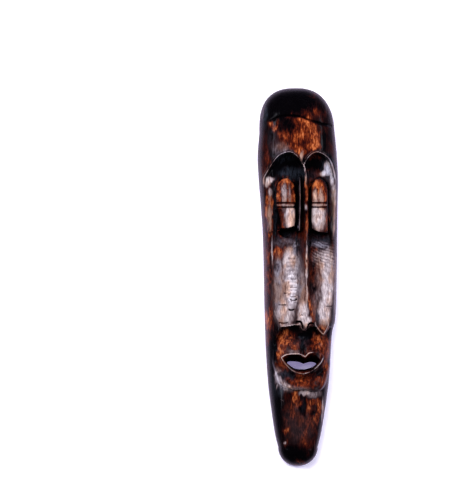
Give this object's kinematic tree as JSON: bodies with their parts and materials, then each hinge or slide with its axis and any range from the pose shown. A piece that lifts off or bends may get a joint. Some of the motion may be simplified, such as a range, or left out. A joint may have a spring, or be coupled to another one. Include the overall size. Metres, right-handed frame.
{
  "type": "carved wooden face mask",
  "caption": "Long narrow carved wooden wall mask with closed bar-shaped eyes, a thin nose and a small open mouth, hollow behind, lying face up.",
  "frame": {"origin": "under the middle of the mask, on the plane of its flat back", "axes": "+X across the face to the viewer's right, +Y from the chin to the crown, +Z out of the face"},
  "size_m": [0.1052, 0.5, 0.0519],
  "materials": {
    "wood": "dark stained and burnt, glossy, with orange wood showing"
  },
  "bodies": {
    "root": {"mask": "wood"}
  },
  "joints": []
}
